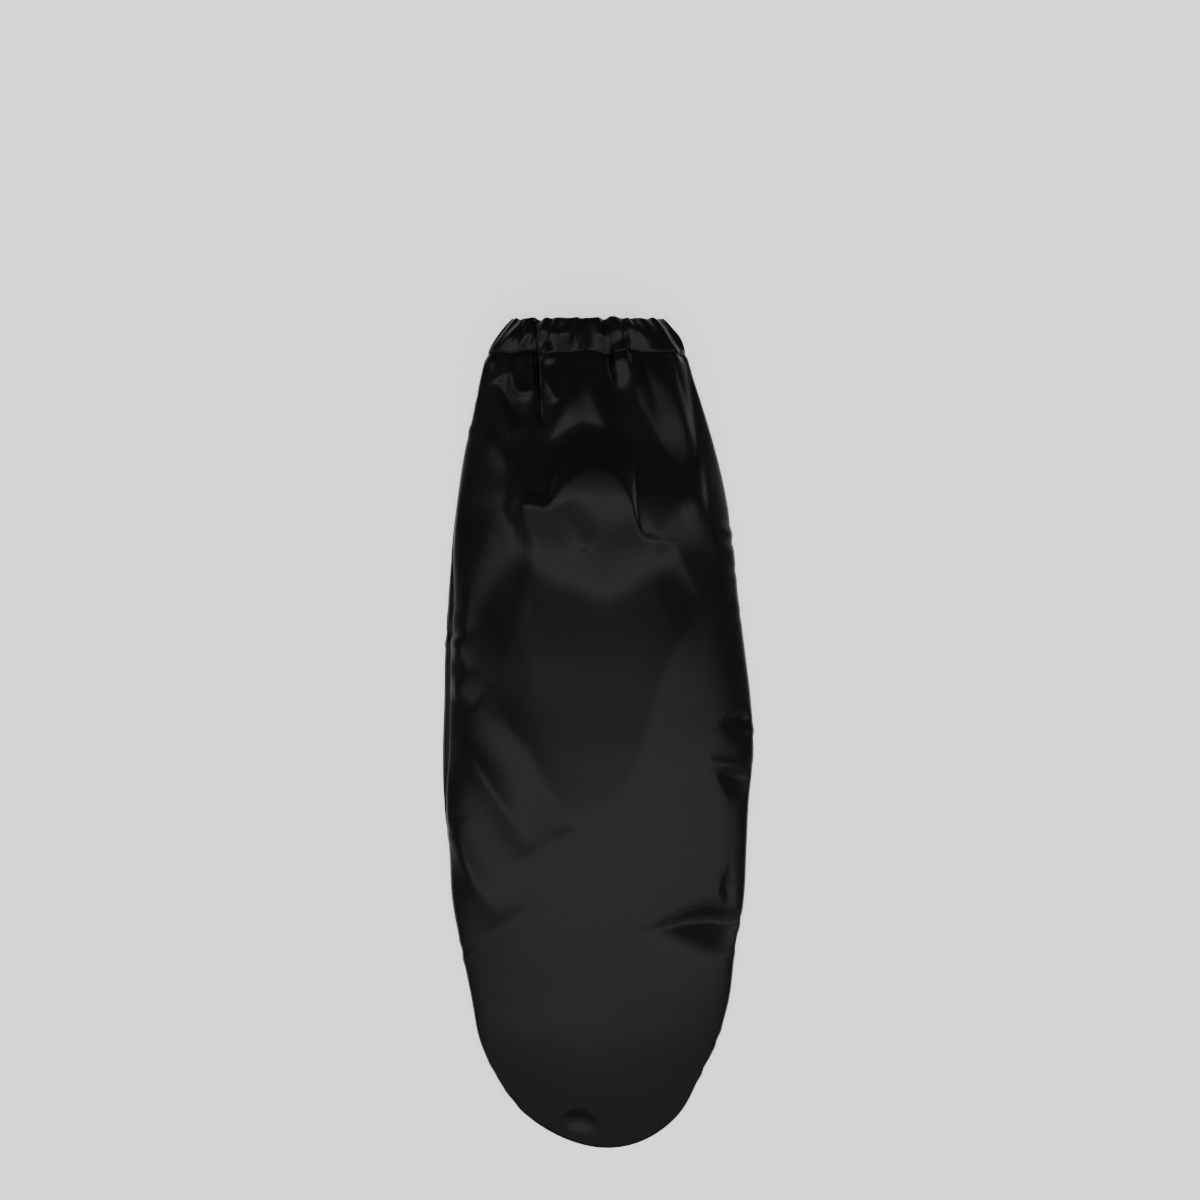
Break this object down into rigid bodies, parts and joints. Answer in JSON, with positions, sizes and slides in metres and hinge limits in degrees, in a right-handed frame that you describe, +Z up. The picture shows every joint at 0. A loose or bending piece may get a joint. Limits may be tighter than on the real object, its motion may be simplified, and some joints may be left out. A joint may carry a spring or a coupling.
{
  "type": "sleep cap",
  "caption": "Long satin hair sleeve with a round closed tip, side seams and an elastic gathered mouth, laid down flat and empty.",
  "frame": {"origin": "on the surface that the cap lies on, at the centre of its footprint", "axes": "+Y along the cap towards its open mouth, +X to the right seen from above, +Z up"},
  "size_m": [0.1878, 0.5, 0.0332],
  "materials": {
    "front_satin": "black satin, soft broad sheen",
    "back_satin": "black satin, soft broad sheen",
    "casing_satin": "black satin, gathered and stitched"
  },
  "bodies": {
    "root": {"front_panel": "front_satin", "back_panel": "back_satin", "elastic_casing": "casing_satin"}
  },
  "joints": []
}
